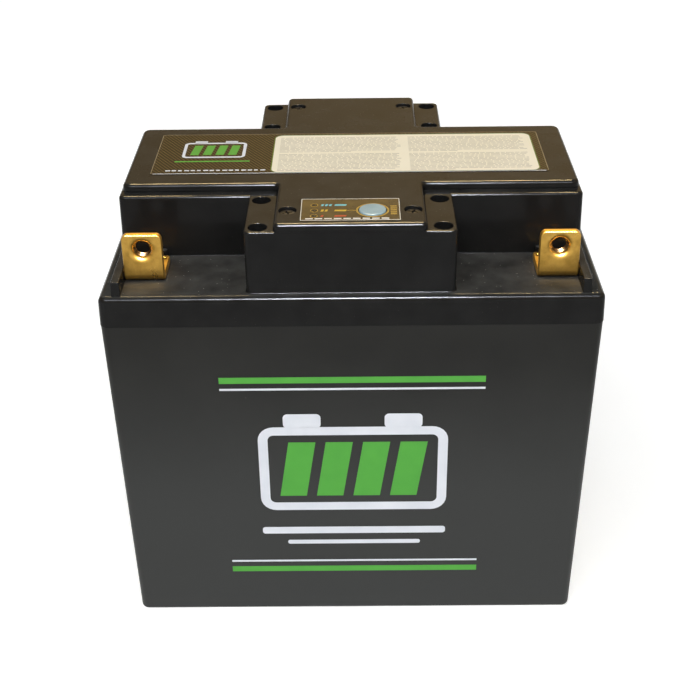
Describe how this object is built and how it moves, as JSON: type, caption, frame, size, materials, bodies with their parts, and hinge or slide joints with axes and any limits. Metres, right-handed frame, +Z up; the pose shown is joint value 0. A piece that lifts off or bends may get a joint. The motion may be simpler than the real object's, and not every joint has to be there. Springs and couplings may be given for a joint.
{
  "type": "motorcycle battery",
  "caption": "Lithium motorcycle battery: drafted black case, glossy lid with a cross-shaped tower and drilled tabs, brass L terminals, and a charge indicator with a test button.",
  "frame": {"origin": "centre of the base, on the surface it stands on", "axes": "+Z up, +X to the right terminal, -Y to the front face with the terminals"},
  "size_m": [0.166, 0.126, 0.1594],
  "materials": {
    "case_plastic": "moulded, fine matt texture",
    "lid_plastic": "moulded, polished",
    "sealant": "matt",
    "black_steel": "black oxide",
    "label_film": "printed film",
    "overlay_plastic": "clear over print",
    "button_plastic": "moulded",
    "switch_white": "moulded",
    "chip_black": "moulded",
    "circuit_board": "solder resist",
    "lamp_cyan": "cast",
    "lamp_yellow": "cast",
    "lamp_red": "cast",
    "zinc_steel": "zinc plated",
    "lead_rubber": "matt",
    "brass": "stamped",
    "copper": "copper strip",
    "holder_plastic": "moulded",
    "aluminium": "drawn tube",
    "nickel": "nickel plated strip",
    "cell_sleeve": "shrink sleeve over a steel can"
  },
  "bodies": {
    "battery": {"case": "case_plastic", "lid": "lid_plastic", "top_cover": "lid_plastic", "lid_seal": "sealant", "cover_screws": "black_steel", "top_label": "label_film", "indicator_overlay": "overlay_plastic", "switch_body": "chip_black", "indicator_board": "circuit_board", "led_full": "lamp_cyan", "led_mid": "lamp_yellow", "led_low": "lamp_red", "indicator_screws": "zinc_steel", "indicator_lead": "lead_rubber", "lead_socket": "switch_white", "terminal_left": "brass", "terminal_right": "brass", "terminal_seals": "sealant", "terminal_washers": "zinc_steel", "terminal_nuts": "brass", "strap_negative": "copper", "strap_positive": "copper", "holder_lower": "holder_plastic", "holder_upper": "holder_plastic", "pack_spacers": "aluminium", "tie_screws": "zinc_steel", "bus_negative": "nickel", "bus_link_1": "nickel", "bus_link_2": "nickel", "bus_link_3": "nickel", "bus_positive": "nickel", "balance_board": "circuit_board", "bleed_resistors": "chip_black", "balance_chips": "chip_black", "board_standoffs": "brass", "board_screws": "zinc_steel", "cell_1a": "cell_sleeve", "cell_1b": "cell_sleeve", "cell_1c": "cell_sleeve", "cell_2a": "cell_sleeve", "cell_2b": "cell_sleeve", "cell_2c": "cell_sleeve", "cell_3a": "cell_sleeve", "cell_3b": "cell_sleeve", "cell_3c": "cell_sleeve", "cell_4a": "cell_sleeve", "cell_4b": "cell_sleeve", "cell_4c": "cell_sleeve"},
    "button": {"test_button": "button_plastic", "switch_stem": "switch_white"}
  },
  "joints": [
    {"name": "test_press", "type": "slide", "parent": "battery", "child": "button", "axis": [0, 0, -1], "range_m": [0, 0.0005], "stiffness_N_per_m": 2000, "springref_m": -0.0002}
  ]
}
